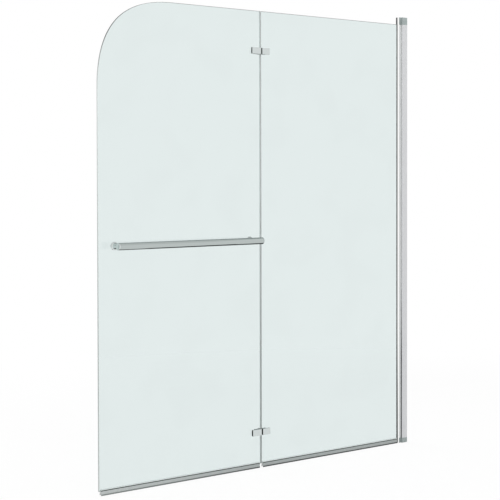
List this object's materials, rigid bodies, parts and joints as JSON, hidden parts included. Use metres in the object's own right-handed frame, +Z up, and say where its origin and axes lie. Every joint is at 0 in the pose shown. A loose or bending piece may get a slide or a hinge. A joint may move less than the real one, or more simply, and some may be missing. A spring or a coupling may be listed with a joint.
{
  "type": "folding bath screen",
  "caption": "Folding glass bath screen: wall post with a pivoting pane, a hinged outer pane with a rounded top corner, chrome towel bar and wiping bottom seals.",
  "frame": {"origin": "middle of the foot of the wall post, where the wall's face meets the top of the bath rim", "axes": "+X into the wall, +Z up along the post, -Y towards the side with the towel bar; the panels reach towards -X"},
  "size_m": [1.2, 0.069, 1.4],
  "materials": {
    "polished_aluminium": "bright polished and anodised",
    "cap_plastic": "moulded grey, fine satin",
    "clear_glass": "clear tempered glass with ground edges",
    "grey_seal": "soft grey extrusion",
    "clear_seal": "soft clear extrusion",
    "chrome": "bright chrome plate",
    "steel": "plain stainless steel",
    "bearing_plastic": "natural moulded bearing plastic",
    "soft_pad": "soft grey pad"
  },
  "bodies": {
    "wall_post": {"wall_channel": "polished_aluminium", "adjusting_profile": "polished_aluminium", "adjusting_screws": "steel", "post_seal": "clear_seal", "top_bearing_cap": "cap_plastic", "bottom_bearing_cap": "cap_plastic", "cap_screws": "steel", "top_pivot_pin": "steel", "bottom_pivot_pin": "steel"},
    "inner_panel": {"pivot_profile": "polished_aluminium", "upper_pivot_bush": "bearing_plastic", "lower_pivot_bush": "bearing_plastic", "glazing_gasket": "soft_pad", "inner_glass": "clear_glass", "inner_bottom_seal": "grey_seal", "inner_hinge_pads": "soft_pad", "inner_hinge_screws": "steel", "inner_hinge_sleeves": "bearing_plastic", "upper_inner_hinge_leaf": "chrome", "lower_inner_hinge_leaf": "chrome", "upper_inner_hinge_plate": "chrome", "lower_inner_hinge_plate": "chrome", "upper_hinge_pin": "steel", "lower_hinge_pin": "steel"},
    "outer_panel": {"outer_glass": "clear_glass", "outer_bottom_seal": "grey_seal", "seam_seal": "clear_seal", "hinge_bushes": "bearing_plastic", "towel_bar": "chrome", "left_bar_cap": "chrome", "right_bar_cap": "chrome", "left_bar_post": "chrome", "right_bar_post": "chrome", "bar_washers": "soft_pad", "bar_sleeves": "bearing_plastic", "bar_studs": "steel", "bar_back_discs": "chrome", "outer_hinge_pads": "soft_pad", "outer_hinge_screws": "steel", "outer_hinge_sleeves": "bearing_plastic", "upper_outer_hinge_leaf": "chrome", "lower_outer_hinge_leaf": "chrome", "upper_outer_hinge_plate": "chrome", "lower_outer_hinge_plate": "chrome"}
  },
  "joints": [
    {"name": "wall_pivot", "type": "hinge", "parent": "wall_post", "child": "inner_panel", "pos_m": [-0.0281, 0, 0], "axis": [0, 0, 1], "range_deg": [-90, 90]},
    {"name": "panel_fold", "type": "hinge", "parent": "inner_panel", "child": "outer_panel", "pos_m": [-0.6205, 0.0095, 0], "axis": [0, 0, -1], "range_deg": [0, 180]}
  ]
}
